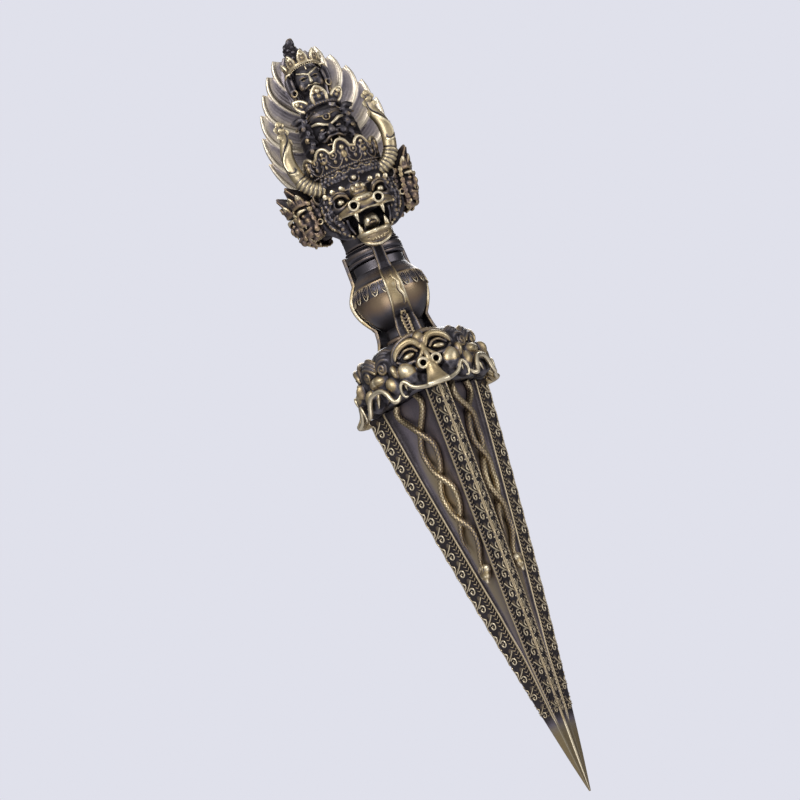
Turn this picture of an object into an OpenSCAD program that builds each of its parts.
/* [Blade] */
// Length of the blade from its point to the collar
blade_len = 121; // [112:1:132]
// Distance from the axis to each edge at the top of the blade
edge_reach = 20.6; // [18.5:0.1:21.5]
// How far each edge swells outside a straight line halfway up
edge_bulge = 1.03; // [0:0.1:1.6]
// Angle between the middle plane of an edge and its side
edge_angle = 22; // [20:0.5:24]
// Width of the ornamented border beside each edge
border_w = 7.2; // [6:0.1:8]
// Depth of the plain panel below the border
panel_depth = 0.6; // [0.3:0.05:1]
// Extra thickness of each edge towards the point
point_r = 0.25; // [0.2:0.05:0.4]
// Radius of the round tang above the blade
tang_r = 5.5; // [4.5:0.1:6.5]
// Length of the tang
tang_len = 6; // [4:0.5:9]

/* [Snakes] */
// Radius of a snake's body
snake_r = 0.85; // [0.6:0.05:1]
// Sideways swing of the two bodies on a face
snake_sway = 2.8; // [2:0.1:3.2]
// Distance along the blade between two crossings
snake_pitch = 13.4; // [12:0.2:15]
// Length of the snake that ends in the hooded head
snake_len = 51; // [47:1:54]
// Length of the snake that ends in a tail
tail_len = 42; // [38:1:44]

/* [Collar] */
// Radius of the core that the masks are fixed to
collar_r = 13.5; // [12.5:0.1:14.5]
// Height of the core
collar_h = 16; // [15:0.5:18]
// How far a mask's lip stands out from the core
mask_proud = 11.3; // [10.5:0.1:12.5]

/* [Grip] */
// Radius of the stem above the collar
stem_r = 5.6; // [5:0.1:6.2]
// Height of the stem
stem_h = 4.5; // [3:0.5:6]
// Largest radius of the vase
belly_r = 10.8; // [10:0.1:11.4]
// Height of the vase, its collar included
vase_h = 20; // [18:0.5:23]
// Radius of the vase's collar
vase_neck_r = 7.4; // [7:0.1:7.8]
// Wall of the hollow vase
vase_wall = 1.6; // [1:0.1:1.8]
// Radius of the ring stack
ring_r = 8.3; // [8.1:0.1:8.8]
// Height of the ring stack
ring_h = 4.5; // [3.5:0.5:6]
// Radius of the upper neck
neck_r = 7.7; // [7.2:0.1:7.9]
// Height of the upper neck
neck_h = 5.4; // [4:0.2:7]

/* [Prongs] */
// Width of a prong at its foot
prong_foot_w = 7; // [5.5:0.1:7.4]
// Width of a prong at its top
prong_top_w = 2.9; // [2.4:0.1:3.6]
// Thickness of a prong
prong_t = 1.3; // [1.1:0.1:1.6]

/* [Head] */
// Radius of the core behind the faces
core_r = 8; // [7.8:0.1:8.2]
// Height of the round part of the core
core_h = 14; // [13:0.5:15]
// Width of the flat spine that carries the upper heads
spine_w = 9; // [7:0.5:10]
// Thickness of the spine
spine_t = 3.4; // [3:0.1:4]
// Height of the spine
spine_h = 36; // [34:0.5:37]
// Distance from the core to the bull's nostrils
muzzle_proud = 14; // [13:0.5:15]
// Thickness of a horn at its root
horn_d = 3.8; // [3:0.1:4]
// Distance of a side head's middle from the axis
side_head_reach = 15.2; // [14.5:0.1:16]
// Radius of the five-leaf crown
crown_r = 11.5; // [11:0.1:12]
// Height of the crown's middle leaf
crown_leaf_h = 8; // [6.5:0.5:9]

/* [Flames] */
// Thickness of the flame plate
flame_t = 2; // [1.5:0.1:2.6]
// Half of the plate's largest width
flame_half_w = 18.3; // [17:0.1:19.5]
// Height of the plate
flame_h = 40.1; // [37:0.1:42]

/* [Fixings] */
// Radius of the long tie rod
rod_r = 2.4; // [2:0.1:2.8]
// Depth to which the rod enters the blade and the head
rod_grip = 10; // [8:0.5:11]
// Radius of a rivet's shank
rivet_r = 0.8; // [0.6:0.05:1]
// Radius of a rivet's head
rivet_head_r = 1.6; // [1.3:0.1:2]
// Gap left where two pieces seat on each other
seat_gap = 0.1; // [0.05:0.01:0.15]

/* [Hidden] */

// Heights of the seats, stacked from the point upwards
collar_z = blade_len + seat_gap;
stem_z = collar_z + collar_h;
vase_z = stem_z + stem_h + seat_gap;
ring_z = vase_z + vase_h + seat_gap;
neck_z = ring_z + ring_h + seat_gap;
head_z = neck_z + neck_h + seat_gap;
spine_z = head_z + core_h;
prong_top_z = neck_z;
belly_z = vase_z + 0.53 * vase_h;

bore_r = rod_r + seat_gap;
side_turn = 120;
mask_gap = 0.15;
front = -90;
BRASS = "#8d7a52";
DARK = "#4a4642";
GOLD = "#b8a06a";

// Distance from the axis to an edge at height z, up to the straight shoulder of the blade
shoulder_h = 1;
shoulder_proud = 0.1;
function edge_at(z) =
    let (t = min(1, z / (blade_len - shoulder_h)))
    point_r + (edge_reach - point_r) * t + 4 * edge_bulge * t * (1 - t);

function mix(a, b, t) = a + (b - a) * t;
function ease(t) = (1 - cos(180 * min(1, max(0, t)))) / 2;
function bezier(p, t) =
    pow(1 - t, 3) * p[0] + 3 * t * pow(1 - t, 2) * p[1]
    + 3 * t * t * (1 - t) * p[2] + pow(t, 3) * p[3];
function turned(p, a) = [p[0] * cos(a) - p[1] * sin(a), p[0] * sin(a) + p[1] * cos(a)];
function mirrored(p) = [p[0] * cos(120) + p[1] * sin(120), p[0] * sin(120) - p[1] * cos(120)];

// One side of an edge: from the rim, over the border, down to the valley between two edges
function rim_flat(r) = min(0.3, 0.12 * r);
function side_point(r, s, depth) = [
    r - s * cos(edge_angle) - depth * sin(edge_angle),
    rim_flat(r) + s * sin(edge_angle) - depth * cos(edge_angle)];
function valley_at(r, depth) =
    (sqrt(3) * (r - depth * sin(edge_angle)) - rim_flat(r) + depth * cos(edge_angle))
    / (sin(edge_angle) + sqrt(3) * cos(edge_angle));
function panel_at(r) = panel_depth * ease((valley_at(r, 0) - border_w) / 3);
function border_at(r) = min(border_w, 0.8 * valley_at(r, 0));
function half_side(r, depth) =
    let (border = border_at(r), step = min(0.3, 0.05 * valley_at(r, 0)),
        low = valley_at(r, depth), start = side_point(r, mix(border + step, low, 0.55), depth),
        corner = side_point(r, low, depth), far = mirrored(start))
    [[r, rim_flat(r)], side_point(r, border, 0), side_point(r, border + step, depth), start,
        0.5625 * start + 0.375 * corner + 0.0625 * far, 0.25 * start + 0.5 * corner + 0.25 * far];
function third(r, depth) =
    let (h = half_side(r, depth))
    concat(h, [for (i = [4:-1:0]) mirrored(h[i])]);
function blade_ring(r, depth, z) =
    let (t = third(r, depth))
    [for (k = [0:2], p = t) let (q = turned(p, front + 120 * k)) [q[0], q[1], z]];

// Height of the face's floor above the axis, at u beside the middle of a face
function face_floor(u, z) =
    let (r = edge_at(z), h = half_side(r, panel_at(r)), low = norm(h[5]), side = h[3],
        a = turned(side, -60))
    mix(low, a[0], min(1.2, abs(u) / abs(a[1])));

// Closed skin through a list of rings, each with the same number of points, and down to a point if there is one
module loft(rings, tip = undef) {
    n = len(rings[0]);
    last = len(rings) - 1;
    middle = function (ring) [for (axis = [0:2]) [for (p = ring) p[axis]] * [for (p = ring) 1 / n]];
    points = concat([for (ring = rings, p = ring) p], [is_undef(tip) ? middle(rings[0]) : tip, middle(rings[last])]);
    sides = [for (j = [0:last - 1], i = [0:n - 1])
        let (a = j * n + i, b = j * n + (i + 1) % n)
        each [[a, a + n, b], [b, a + n, b + n]]];
    base = [for (i = [0:n - 1]) [i, (i + 1) % n, n * (last + 1)]];
    lid = [for (i = [0:n - 1]) [n * last + (i + 1) % n, n * last + i, n * (last + 1) + 1]];
    polyhedron(points = points, faces = concat(sides, base, lid));
}

// Plain rounded lump, the unit that the cast figures are built from
module lump(at, size, n = 8) {
    translate(at) hull() scale(size) sphere(r = 1, $fn = n);
}

// The same lump on the left and the right
module pair(at, size, n = 8) {
    lump(at, size, n);
    lump([-at[0], at[1], at[2]], size, n);
}

// Round bar through a list of points, with one radius for each point
module bar(points, radii, n = 6) {
    for (i = [0:len(points) - 2]) hull() {
        translate(points[i]) sphere(r = radii[i], $fn = n);
        translate(points[i + 1]) sphere(r = radii[i + 1], $fn = n);
    }
}

// Wedge round the axis between two bearings, counted from the front towards +X
module wedge(from, to, reach, low, high) {
    steps = 4;
    rim = [for (i = [0:steps]) let (a = mix(from, to, i / steps)) [reach * sin(a), -reach * cos(a)]];
    inner = mask_gap / 2 / sin((to - from) / 2);
    middle = (from + to) / 2;
    translate([inner * sin(middle), -inner * cos(middle), low])
        linear_extrude(height = high - low) polygon(concat([[0, 0]], rim));
}

module blade_body() {
    top = blade_len - shoulder_h;
    heights = concat([4, 10, 18], [for (i = [0:14]) mix(26, top, i / 14)]);
    shoulder = [for (p = blade_ring(edge_reach + shoulder_proud, 0, top)) [p[0], p[1]]];
    loft([for (z = heights) let (r = edge_at(z)) blade_ring(r, panel_at(r), z)], [0, 0, 0]);
    translate([0, 0, top - shoulder_h / 4]) linear_extrude(height = 1.25 * shoulder_h) polygon(shoulder);
}

module blade() {
    color(BRASS) difference() {
        union() {
            blade_body();
            translate([0, 0, blade_len - shoulder_h / 2]) cylinder(r = tang_r, h = tang_len + shoulder_h / 2, $fn = 48);
        }
        translate([0, 0, blade_len - rod_grip]) cylinder(r = bore_r, h = rod_grip + tang_len + 1, $fn = 48);
    }
}

// Two bodies that wind round each other down a face, seen with the face towards the front
snake_top = blade_len - 1.25 * shoulder_h - 0.7 * snake_r;
function snake_phase(z) = 180 * (snake_top - 7.6 - z) / snake_pitch;
function snake_u(z, s) =
    let (down = snake_top - z)
    s * (snake_sway + ease(1 - down / 6)) * sin(snake_phase(z)) * ease(4 - down / 14);
function snake_point(z, s) =
    let (u = snake_u(z, s), lift = 1.5 * snake_r * pow(max(0, s * cos(snake_phase(z))), 3))
    [u, -face_floor(u, z) - snake_r - seat_gap - lift, z];
function snake_rings(s, length, steps, sides) =
    [for (j = [0:steps])
        let (z = snake_top - length + length * j / steps, p = snake_point(z, s),
            t = snake_point(z + 0.3, s) - snake_point(z - 0.3, s), along = t / norm(t),
            out = [0, -1, 0] + along * along[1], up = out / norm(out), across = cross(along, up),
            r = snake_r * mix(0.55, 1, ease((z - snake_top + length) / 8)))
        [for (i = [0:sides - 1]) let (a = 360 * i / sides) p + r * (cos(a) * across - sin(a) * up)]];

module snakes(turn) {
    head = snake_point(snake_top - snake_len, 1);
    tail = snake_point(snake_top - tail_len, -1);
    color(DARK) rotate([0, 0, turn]) union() {
        loft(snake_rings(1, snake_len, 30, 6));
        loft(snake_rings(-1, tail_len, 26, 6));
        lump(head + [0.3, -0.45, -0.6], [1.8, 1, 2.2], 8);
        lump(head + [0.1, -0.3, -2.6], [0.7, 0.6, 1], 6);
        lump(head + [0.9, -1.1, -1.3], [0.35, 0.35, 0.4], 6);
        lump(head + [-0.4, -1.1, -1.3], [0.35, 0.35, 0.4], 6);
        lump(head + [0, 0, 0.8], [0.75, 0.6, 1.2], 6);
        lump(tail + [0, 0, -0.6], [0.42, 0.42, 1.3], 6);
    }
}
module snakes_left() { snakes(-60); }
module snakes_right() { snakes(60); }
module snakes_back() { snakes(180); }

module collar_core() {
    shoulder = 2;
    color(DARK) difference() {
        union() {
            translate([0, 0, collar_z]) cylinder(r = collar_r, h = collar_h - shoulder, $fn = 64);
            translate([0, 0, collar_z + collar_h - shoulder])
                cylinder(r1 = collar_r, r2 = collar_r - shoulder / 2, h = shoulder, $fn = 64);
        }
        translate([0, 0, collar_z - 1]) cylinder(r = tang_r + seat_gap, h = tang_len + seat_gap + 1, $fn = 48);
        translate([0, 0, collar_z]) cylinder(r = bore_r, h = collar_h + 1, $fn = 48);
    }
}

// Sea-monster mask over one blade edge: d is the distance in front of the core
module mask_shape() {
    place = function (x, d, h) [x, -collar_r - d, collar_z + h];
    rim = [place(0, mask_proud - 1, -1), place(3, mask_proud - 1.8, -0.9), place(5.2, 8, 0.5),
        place(6.8, 6.2, 3.2), place(8.6, 4.8, 4.6), place(10.2, 3.2, 2.9), place(11.8, 1.2, 1.2)];
    intersection() {
        union() {
            // Mass of the head, brow and snout
            lump(place(0, 0.5, 7.5), [11.8, 5, 7.2]);
            lump(place(0, 3.4, 8), [8.2, 4.2, 5.5]);
            pair(place(4, 3.6, 12.4), [4.4, 3.2, 1.8]);
            pair(place(4.3, 5.2, 9.4), [2.3, 1.6, 1.2]);
            pair(place(6, 6.4, 4.9), [2.7, 2.4, 2.1]);
            lump(place(0, 6.2, 7.6), [2.6, 3.4, 4.4]);
            pair(place(1.9, 8.1, 5.6), [1.7, 1.6, 1.7]);
            lump(place(0, 8.1, 3), [3.4, 2.6, 3.2]);
            lump(place(0, mask_proud - 2.2, 0.7), [3, 2.2, 2.8]);
            lump(place(0, 2.6, 14), [1.8, 2.2, 1.9]);
            // Bright rim of the upper lip, up over the fangs and down to the corners
            bar(rim, [0.9, 0.9, 0.8, 0.8, 0.8, 0.8, 0.9]);
            bar([for (p = rim) [-p[0], p[1], p[2]]], [0.9, 0.9, 0.8, 0.8, 0.8, 0.8, 0.9]);
            // Fangs, corner curls, ear curls and the hair above them
            pair(place(8.6, 3.2, 2.3), [0.9, 1.4, 2.2], 6);
            pair(place(12, 1, 1.8), [2.2, 1.6, 1.6], 6);
            pair(place(11.2, -2.8, 8), [3.8, 4.6, 7.6]);
            pair(place(12.6, -0.6, 9.6), [2.4, 2, 2.2], 6);
            pair(place(9.8, 1.4, 11.4), [2.2, 2, 1.9], 6);
            pair(place(12.4, -2.4, 12.8), [1.9, 1.9, 2], 6);
        }
        difference() {
            union() {
                wedge(-60, 60, 40, collar_z, collar_z + collar_h);
                translate([-5.4, -40, collar_z - 3]) cube([10.8, 40 - edge_reach - shoulder_proud - 0.3, 6]);
            }
            translate([0, 0, collar_z - 5]) cylinder(r = collar_r + seat_gap, h = collar_h + 10, $fn = 32);
        }
    }
}
module mask_front() { color(GOLD) mask_shape(); }
module mask_right() { color(GOLD) rotate([0, 0, side_turn]) mask_shape(); }
module mask_left() { color(GOLD) rotate([0, 0, -side_turn]) mask_shape(); }

stem_bead = 1;
module stem() {
    color(DARK) difference() {
        union() {
            translate([0, 0, stem_z + seat_gap]) cylinder(r = stem_r + stem_bead, h = stem_h / 3, $fn = 48);
            translate([0, 0, stem_z + seat_gap]) cylinder(r = stem_r, h = stem_h - seat_gap, $fn = 48);
        }
        translate([0, 0, stem_z - 1]) cylinder(r = bore_r, h = stem_h + 3, $fn = 48);
    }
}

// Radius of the vase at height t from 0 to 1: foot, belly, shoulder and collar
function vase_r(t) =
    t < 0.53 ? bezier([stem_r, stem_r + 1.3, belly_r, belly_r], t / 0.53)
    : t < 0.86 ? bezier([belly_r, belly_r, vase_neck_r + 1.4, vase_neck_r + 0.2], (t - 0.53) / 0.33)
    : vase_neck_r;
module grip_vase() {
    steps = 22;
    floor_t = 0.1;
    outside = concat([for (i = [0:steps]) let (t = 0.86 * i / steps) [vase_r(t), vase_z + t * vase_h]],
        [[vase_neck_r, vase_z + 0.862 * vase_h], [vase_neck_r, vase_z + vase_h]]);
    inside = [for (i = [0:10]) let (t = mix(1 - floor_t, floor_t, i / 10))
        [vase_r(t) - vase_wall, vase_z + t * vase_h]];
    hollow = concat([[bore_r, vase_z + vase_h], [bore_r, vase_z + (1 - floor_t) * vase_h]], inside,
        [[bore_r, vase_z + floor_t * vase_h], [bore_r, vase_z]]);
    color(BRASS) rotate_extrude($fn = 72) polygon(concat(outside, hollow));
}

module neck_rings() {
    groove = 0.5;
    third_h = ring_h / 3;
    color(DARK) difference() {
        translate([0, 0, ring_z]) cylinder(r = ring_r, h = ring_h, $fn = 64);
        translate([0, 0, ring_z - 1]) cylinder(r = bore_r, h = ring_h + 2, $fn = 48);
        for (level = [0.85, 2.45]) translate([0, 0, ring_z + level * third_h]) difference() {
            cylinder(r = ring_r + 1, h = groove, $fn = 64);
            translate([0, 0, -1]) cylinder(r = ring_r - groove, h = groove + 2, $fn = 64);
        }
    }
}

module upper_neck() {
    color(DARK) difference() {
        translate([0, 0, neck_z]) cylinder(r = neck_r, h = neck_h, $fn = 64);
        translate([0, 0, neck_z - 1]) cylinder(r = bore_r, h = neck_h + 2, $fn = 48);
    }
}

module tie_rod() {
    low = blade_len - rod_grip + seat_gap;
    high = head_z + rod_grip - seat_gap;
    color("#9a9a90") translate([0, 0, low]) cylinder(r = rod_r, h = high - low, $fn = 48);
}

// Inner face of a prong: it stands spread on the collar, keeps close to the stem and the vase, and
// ends upright beside the ring stack
function prong_in(z) =
    let (flare = 1.3 * pow(max(0, 1 - (z - stem_z) / stem_h), 2),
        t = min(0.86, max(0, (z - vase_z) / vase_h)))
    max(stem_r + stem_bead + 2 * seat_gap + flare, vase_r(t) + 1.5 * seat_gap,
        z > belly_z ? ring_r + seat_gap : 0);
module prong(turn) {
    lip = 0.25;
    low = stem_z + seat_gap;
    high = prong_top_z - seat_gap;
    steps = 24;
    color(BRASS) rotate([0, 0, turn]) loft([for (i = [0:steps])
        let (z = mix(low, high, i / steps), r = prong_in(z), w = mix(prong_foot_w, prong_top_w, i / steps) / 2)
        [[w, -r, z], [-w, -r, z], [-w, -r - prong_t, z], [-w + 0.7, -r - prong_t, z],
            [-w + 1, -r - prong_t + lip, z], [w - 1, -r - prong_t + lip, z],
            [w - 0.7, -r - prong_t, z], [w, -r - prong_t, z]]]);
}
module prong_front() { prong(0); }
module prong_right() { prong(side_turn); }
module prong_left() { prong(-side_turn); }

// Core of the head: a round block with a flat spine rising from its back
spine_back = 0.4;
rivet_levels = [0.3, 0.72];
module head_core() {
    top_w = 0.6 * spine_w;
    color(DARK) difference() {
        union() {
            translate([0, 0, head_z]) cylinder(r = core_r, h = core_h, $fn = 64);
            translate([0, spine_back, 0]) rotate([90, 0, 0]) linear_extrude(height = spine_t)
                polygon([[-spine_w / 2, spine_z - 2], [spine_w / 2, spine_z - 2],
                    [top_w / 2, spine_z + spine_h], [-top_w / 2, spine_z + spine_h]]);
        }
        translate([0, 0, head_z - 1]) cylinder(r = bore_r, h = rod_grip + 1, $fn = 48);
        for (level = rivet_levels) translate([0, spine_back + 1, spine_z + level * spine_h])
            rotate([90, 0, 0]) cylinder(r = rivet_r + seat_gap / 2, h = spine_t, $fn = 32);
    }
}

// Space kept clear of the figures by the core and the spine
module core_space() {
    translate([0, 0, head_z - 20]) cylinder(r = neck_r + seat_gap, h = 21, $fn = 32);
    translate([0, 0, head_z]) cylinder(r = core_r + seat_gap, h = core_h + seat_gap, $fn = 32);
    translate([-20, spine_back - spine_t - seat_gap, spine_z]) cube([40, 30, spine_h + 20]);
}

face = function (x, d, h) [x, -core_r - d, head_z + h];
crown_mid_y = -core_r + 3;
crown_seat_z = spine_z + 1.6;

module bull_head() {
    mane = [face(10.2, 2, 10), face(10.8, 2.4, 5.6), face(9.6, 4.4, 1.6), face(7.4, 6.6, -1.6), face(5.2, 8, -3.6)];
    color(GOLD) difference() {
        intersection() {
            union() {
                // Skull, snout and muzzle
                lump([0, -9.2, head_z + 10.4], [11, 8, 7.6]);
                lump(face(0, 5.5, 12.8), [8.2, 3.4, 4.2]);
                lump(face(0, 8.4, 7), [5, 5, 4.4]);
                lump(face(0, muzzle_proud - 3, 4), [6.6, 3.6, 2.7]);
                pair(face(3.6, muzzle_proud - 1, 3.5), [1.9, 1.5, 1.9]);
                // Brows, eyes and the third eye
                pair(face(5.8, 7.8, 9.4), [3.4, 2, 1.6]);
                pair(face(6.2, 5.4, 7), [3, 3.2, 3]);
                pair(face(6.2, 8.2, 6.7), [1.2, 1.3, 1.2], 6);
                lump(face(0, 9.2, 11.3), [1.4, 1.2, 1.5]);
                // Cheeks and the mane that frames them
                pair(face(8, 2.4, 5), [3.2, 5, 6], 8);
                pair(face(7, 5.2, 0.4), [2.4, 3.4, 3.6], 8);
                bar(mane, [1.6, 1.6, 1.5, 1.4, 1.1]);
                bar([for (p = mane) [-p[0], p[1], p[2]]], [1.6, 1.6, 1.5, 1.4, 1.1]);
                // Upper fangs
                pair(face(3.9, 11.4, 0.8), [0.7, 0.8, 2.2], 6);
            }
            union() {
                wedge(-50, 50, 60, head_z - 10, crown_seat_z);
                translate([-9, -40, head_z + core_h]) cube([18, 40, crown_seat_z - head_z - core_h]);
            }
        }
        core_space();
        horn_space();
        // Open mouth, with the jaw below it
        translate([-jaw_half_w - seat_gap, -60, mouth_roof_z - 8]) cube([2 * (jaw_half_w + seat_gap), 60, 8]);
    }
}

jaw_half_w = 4.6;
mouth_roof_z = head_z - 1.6;
tongue_seat = head_z - 3.5;
module bull_jaw() {
    color(GOLD) difference() {
        intersection() {
            union() {
                lump(face(0, 9.4, -6.1), [4.7, 3.2, 2.8]);
                lump(face(0, 6, -4.7), [4.5, 6.6, 1.6]);
                pair(face(3.6, 7.6, -4.3), [0.8, 3.6, 1.2]);
                pair(face(3.5, 9.8, -3.1), [0.6, 0.7, 1.8], 6);
                lump(face(0, 11.4, -8), [1.5, 1.1, 1.6], 6);
                pair(face(1.9, 11, -4.7), [1.1, 0.9, 0.9], 6);
            }
            translate([-jaw_half_w, -60, head_z - 20]) cube([2 * jaw_half_w, 60, 20 - 0.5]);
        }
        core_space();
        translate([-2.6, -60, tongue_seat]) cube([5.2, 60, 10]);
        translate([-20, -core_r - 6, head_z - 20]) cube([40, 20, prong_top_z - head_z + 20]);
    }
}

module bull_tongue() {
    color(GOLD) difference() {
        union() {
            lump(face(0, 7.2, -2), [2.5, 3.6, 2.2]);
            lump(face(0, 4.8, -2.5), [2.2, 4.8, 1.6]);
            pair(face(1.1, 7.6, -0.7), [1.2, 2.2, 1.4], 6);
            pair(face(0.9, 5, -1.8), [1, 3, 1], 6);
            lump(face(0, 9.2, -2.3), [1.9, 1.7, 1.5], 6);
            pair(face(0.9, 8.8, -1.3), [1, 1.5, 1.3], 6);
        }
        core_space();
        translate([-20, -60, tongue_seat - 10]) cube([40, 60, 10 + seat_gap]);
    }
}

// Middle line of a horn, from its root beside the forehead to its tip; near the tip it sways inwards
horn_sway = 1;
function horn_point(t, s) = [
    s * (bezier([7.2, 15.2, 16.2, 13.4], t) - horn_sway * exp(-pow((t - 0.86) / 0.1, 2))),
    -core_r - bezier([3.4, 4.6, 3.2, 0.2], t),
    head_z + bezier([12.2, 12.4, 23, 34.6], t)];
function horn_radius(t) = horn_d / 2 * (1 - 0.6 * pow(t, 4));
module horn(s, grow, from) {
    steps = 12;
    times = [for (i = [0:steps]) mix(from, 1, i / steps)];
    bar([for (t = times) horn_point(t, s)], [for (t = times) horn_radius(t) + grow], 8);
}
module horn_space() {
    for (s = [-1, 1]) horn(s, seat_gap, 0);
}
module horn_right() { color(GOLD) horn(1, 0, 0); }
module horn_left() { color(GOLD) horn(-1, 0, 0); }

// Pointed leaf of a crown, standing on the origin and facing the front
module leaf(w, h, t) {
    steps = 6;
    side = [for (i = [0:steps]) let (u = i / steps) [w / 2 * (1 - pow(u, 2.4)) * (0.78 + 0.22 * sin(180 * u)), h * u]];
    back = [for (i = [1:steps]) let (p = side[steps - i]) [-p[0], p[1]]];
    translate([0, t / 2, 0]) rotate([90, 0, 0]) linear_extrude(height = t) polygon(concat(side, back));
}

module bull_crown() {
    leaf_turn = 31;
    band_h = 0.6 * crown_leaf_h;
    color(GOLD) union() {
        translate([0, crown_mid_y, crown_seat_z + seat_gap]) difference() {
            cylinder(r = crown_r, h = band_h, $fn = 64);
            translate([0, 0, -1]) cylinder(r = crown_r - 1.6, h = band_h + 2, $fn = 64);
            translate([-20, -3.4, -1]) cube([40, 40, band_h + 2]);
        }
        for (i = [-2:2]) translate([0, crown_mid_y, crown_seat_z + seat_gap]) rotate([0, 0, leaf_turn * i])
            translate([0, -crown_r + 0.8, 0.5]) leaf(5.4 - 0.3 * abs(i), crown_leaf_h - 0.9 * abs(i), 1.3);
    }
}

// Small wrathful head with its own three-leaf crown, facing the front, its middle at the origin
module small_head() {
    lump([0, 1.2, 0.2], [3.9, 4.6, 5.4], 6);
    lump([0, -1.4, -0.9], [3.1, 3.1, 4], 6);
    pair([1.6, -3.7, 1.5], [1.6, 1, 0.7], 6);
    pair([1.5, -3.6, 0.5], [0.8, 0.8, 0.7], 6);
    lump([0, -4.2, -0.4], [0.9, 1, 1.3], 6);
    pair([2, -3, -1.2], [1.1, 1.1, 1], 6);
    lump([0, -3.7, -2.6], [1.9, 1, 0.9], 6);
    lump([0, -2.9, -4.2], [1.6, 1.3, 1.3], 6);
    lump([0, -2.2, 3.1], [3, 1.9, 1.1], 6);
    lump([0, -2.6, 5.6], [1.4, 1, 2.8], 6);
    pair([2.4, -1.6, 5], [1.2, 1, 2.5], 6);
    pair([3.5, 0.5, 2.6], [1.2, 1.8, 2.6], 6);
}
module side_head(bearing, spread, lean) {
    s = sign(bearing);
    color(BRASS) difference() {
        intersection() {
            rotate([0, 0, bearing]) translate([0, -side_head_reach, head_z + 7.6]) rotate([lean, 0, 0])
                union() {
                    small_head();
                    lump([0, 5.6, -0.4], [3.4, 4.4, 5.6], 6);
                }
            wedge(bearing - spread / 2, bearing + spread / 2, 40, head_z - 2, head_z + 30);
        }
        core_space();
        horn_space();
        translate([-30, flame_y - 0.3, flame_z - 1]) cube([60, flame_t + 0.6, 40]);
    }
}

// Hair that falls behind the head, between the rear side heads
module hair_back() {
    color(DARK) difference() {
        intersection() {
            union() {
                for (i = [-3:3]) lump([1.7 * i, core_r + 2.4 - 0.16 * i * i, head_z + 8], [1.3, 2.4, 8.6 - 0.3 * i * i], 6);
                for (i = [-2:2]) lump([2.2 * i, core_r + 2.2, head_z + 11.5], [1.5, 2.6, 4.4], 6);
                lump([0, core_r + 0.6, head_z + 7], [6, 2.4, 7.6]);
            }
            wedge(50 + 3 * side_spread, 310 - 3 * side_spread, 30, head_z, head_z + core_h + 2);
        }
        core_space();
    }
}
side_spread = 33;
module side_head_right_1() { side_head(50 + side_spread / 2, side_spread, 6); }
module side_head_right_2() { side_head(50 + 1.5 * side_spread, side_spread, 8); }
module side_head_right_3() { side_head(50 + 2.5 * side_spread, side_spread, 6); }
module side_head_left_1() { side_head(-50 - side_spread / 2, side_spread, 6); }
module side_head_left_2() { side_head(-50 - 1.5 * side_spread, side_spread, 8); }
module side_head_left_3() { side_head(-50 - 2.5 * side_spread, side_spread, 6); }

// Upper heads: the wrathful one behind the crown and the calm one at the top
// Both hang down from the top of the spine
top_band_z = spine_z + spine_h - 1.4;
top_z = top_band_z - 4;
top_y = -5.2;
middle_top = top_band_z - 13;
middle_z = middle_top - 6;
middle_y = -7;
// Radius of the middle head's crown, and the thickness of a low crown's band
middle_crown_r = 5.6;
band_t = 1.3;

module middle_head() {
    color(DARK) difference() {
        intersection() {
            translate([0, middle_y, middle_z]) union() {
                lump([0, 1, 0], [5.3, 5.2, 7]);
                lump([0, -1.4, -1.2], [4.6, 4, 5.2]);
                pair([2.5, -4.6, 2], [2.6, 1.1, 0.9], 6);
                pair([2.4, -4.5, 0.4], [1.1, 1, 0.9], 6);
                lump([0, -4.4, 3.3], [1.2, 1, 1.3], 6);
                lump([0, -5.2, -0.4], [1.3, 1.3, 1.7], 6);
                pair([3.4, -3.6, -1.8], [1.5, 1.4, 1.5], 6);
                lump([0, -4.6, -3.4], [3.4, 1.3, 1.1], 6);
                lump([0, -3.6, -6], [2.6, 1.8, 1.6], 6);
                pair([6, 0.6, 0.4], [2, 2, 3], 6);
                pair([6.4, 1.4, 4.4], [1.9, 1.6, 2.6], 6);
                pair([7.8, 1.8, 4.7], [1.7, 1.4, 1.2], 6);
                lump([0, 0.6, -9], [6.2, 5, 6.4]);
            }
            translate([-30, -40, crown_seat_z + seat_gap]) cube([60, 60, middle_top - crown_seat_z - seat_gap]);
        }
        core_space();
        translate([0, crown_mid_y, crown_seat_z - 1]) difference() {
            cylinder(r = crown_r + 0.6, h = crown_leaf_h + 2.2, $fn = 32);
            translate([0, 0, -1]) cylinder(r = crown_r - 2.2, h = crown_leaf_h + 5, $fn = 32);
        }
        horn_space();
    }
}

// Curved band of a low crown, open at the back
module crown_band(r) {
    band_h = 1.3;
    difference() {
        cylinder(r = r, h = band_h, $fn = 48);
        translate([0, 0, -1]) cylinder(r = r - band_t, h = band_h + 2, $fn = 48);
        translate([-20, 0.5, -1]) cube([40, 40, band_h + 2]);
    }
}

// Its side leaves spread outwards like wings
module middle_crown() {
    r = middle_crown_r - band_t / 2;
    color(GOLD) translate([0, middle_y, middle_top + seat_gap]) intersection() {
        union() {
            crown_band(middle_crown_r);
            translate([0, -r, 0.4]) leaf(5.4, 5, 1.1);
            for (s = [-1, 1]) translate([0.83 * r * s, -0.6 * r, 0.3]) rotate([0, 46 * s, 24 * s]) leaf(4, 4.7, 1.1);
        }
        translate([-20, -20, 0]) cube([40, 40, 20]);
    }
}

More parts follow.
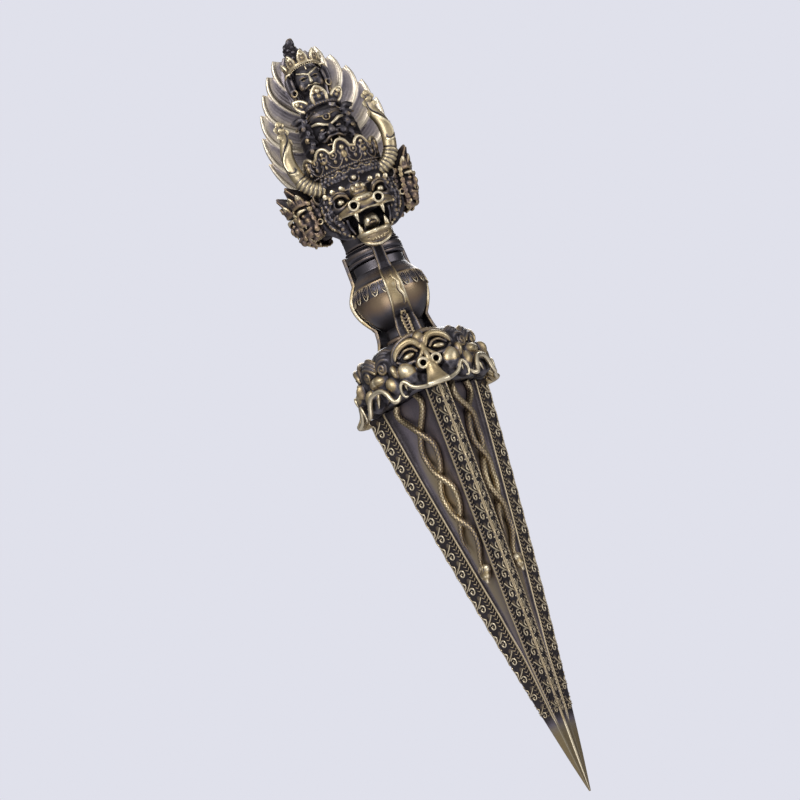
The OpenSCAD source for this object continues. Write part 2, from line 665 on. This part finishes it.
module top_head() {
    color(BRASS) difference() {
        intersection() {
            translate([0, top_y, top_z]) union() {
                lump([0, 0.8, 0], [4.7, 4.4, 5.6]);
                lump([0, -1.2, -0.6], [4.1, 3.2, 4.2]);
                pair([1.9, -3.3, 2.3], [1.9, 1, 0.7], 6);
                pair([1.9, -3.9, 1.4], [0.9, 0.7, 0.5], 6);
                lump([0, -4.3, 0.6], [0.8, 0.9, 1.6], 6);
                lump([0, -4, -1.5], [1.5, 0.8, 0.7], 6);
                lump([0, -3.2, -3.4], [1.6, 1.1, 1.1], 6);
                pair([4.8, 0.2, 0], [0.9, 1.3, 2.4], 6);
                pair([5, 0.2, -2.6], [1, 1, 1.2], 6);
                lump([0, 0.6, -6], [3.6, 3.2, 3.8]);
                pair([4.4, 1, 3.2], [1.4, 1.6, 2], 6);
            }
            translate([-30, -40, middle_top + seat_gap]) cube([60, 60, top_band_z - middle_top - seat_gap]);
        }
        core_space();
        translate([0, middle_y, middle_top - 1]) difference() {
            cylinder(r = middle_crown_r + seat_gap, h = 8, $fn = 32);
            translate([0, 0, -1]) cylinder(r = middle_crown_r - band_t - seat_gap, h = 20, $fn = 32);
            translate([-20, 0.5 + seat_gap, -1]) cube([40, 40, 20]);
        }
    }
}
module top_crown() {
    r = 4.9;
    color(GOLD) translate([0, top_y, top_band_z + seat_gap]) union() {
        crown_band(r);
        for (k = [-2:2]) rotate([0, 0, 40 * k]) translate([0, band_t / 2 - r, 0.4]) rotate([10 * abs(k), 0, 0])
            leaf(3.1, 4 - 0.6 * abs(k), 1.1);
    }
}

// Bundle of hair wound up into a cone inside the top crown, leaning to the left
module topknot() {
    h = flame_z + flame_h - top_band_z - seat_gap;
    top = top_band_z + seat_gap;
    lean = 0.35;
    color(DARK) difference() {
        union() {
            for (i = [0:4]) lump([-lean * i, top_y + 1.6, top + h * (0.08 + 0.18 * i)], [3.1 - 0.5 * i, 2.6 - 0.4 * i, 1.7]);
            bar([[-4 * lean, top_y + 1.6, top + h - 2.4], [-4 * lean, top_y + 1.6, top + h - 0.5]], [0.9, 0.58]);
            pair([1.3, top_y + 0.6, top + 1.3], [0.9, 0.9, 1.6], 6);
        }
        core_space();
        translate([-20, -20, top - 10]) cube([40, 40, 10]);
    }
}

// Flame tongues: each tip lies on one bowed line, and its notch a little inside it
flame_z = head_z + 18;
flame_y = spine_back + seat_gap;
flame_tongues = 6;
function flame_reach(z) = flame_half_w * (1 - pow(max(0, (z - flame_z - 7)) / (0.885 * flame_h), 2.27));
function tip_z(i) = flame_z + 8.8 + 7.6 * (1 - pow(0.84, i)) / (1 - 0.84);
function tongue(i) =
    let (z = tip_z(i), tip = [flame_reach(z), z], low_z = i == 0 ? flame_z : tip_z(i - 1) - 1.3,
        low = [i == 0 ? 0.77 * flame_half_w : flame_reach(tip_z(i - 1)) - 2.7, low_z])
    [low, [mix(low[0], tip[0], 0.55) + 0.8, mix(low[1], tip[1], 0.4)], tip];
module flame_plate() {
    half = [for (i = [0:flame_tongues - 1], p = tongue(i)) p];
    last = [flame_reach(tip_z(flame_tongues - 1)) - 2.7, tip_z(flame_tongues - 1) - 1.3];
    crest = [0, flame_z + flame_h];
    foot = 0.4 * flame_half_w;
    right = concat([[foot, flame_z - 1]], half, [last]);
    left = [for (i = [len(right) - 1:-1:0]) [-right[i][0], right[i][1]]];
    color(BRASS) difference() {
        translate([0, flame_y + flame_t, 0]) rotate([90, 0, 0]) linear_extrude(height = flame_t)
            polygon(concat(right, [crest], left));
        for (level = rivet_levels) translate([0, flame_y - 1, spine_z + level * spine_h])
            rotate([-90, 0, 0]) cylinder(r = rivet_r + seat_gap / 2, h = flame_t + 2, $fn = 32);
    }
}

module plate_rivets() {
    depth = 2;
    head_t = 0.9;
    back = flame_y + flame_t + seat_gap / 2;
    color(GOLD) for (level = rivet_levels) translate([0, back, spine_z + level * spine_h]) union() {
        rotate([-90, 0, 0]) cylinder(r = rivet_head_r, h = head_t, $fn = 32);
        rotate([90, 0, 0]) cylinder(r = rivet_r, h = flame_t + depth, $fn = 32);
    }
}

blade();
snakes_left();
snakes_right();
snakes_back();
collar_core();
mask_front();
mask_left();
mask_right();
stem();
grip_vase();
neck_rings();
upper_neck();
tie_rod();
prong_front();
prong_left();
prong_right();
head_core();
bull_head();
bull_jaw();
bull_tongue();
horn_left();
horn_right();
bull_crown();
side_head_left_1();
side_head_left_2();
side_head_left_3();
side_head_right_1();
side_head_right_2();
side_head_right_3();
hair_back();
middle_head();
middle_crown();
top_head();
top_crown();
topknot();
flame_plate();
plate_rivets();
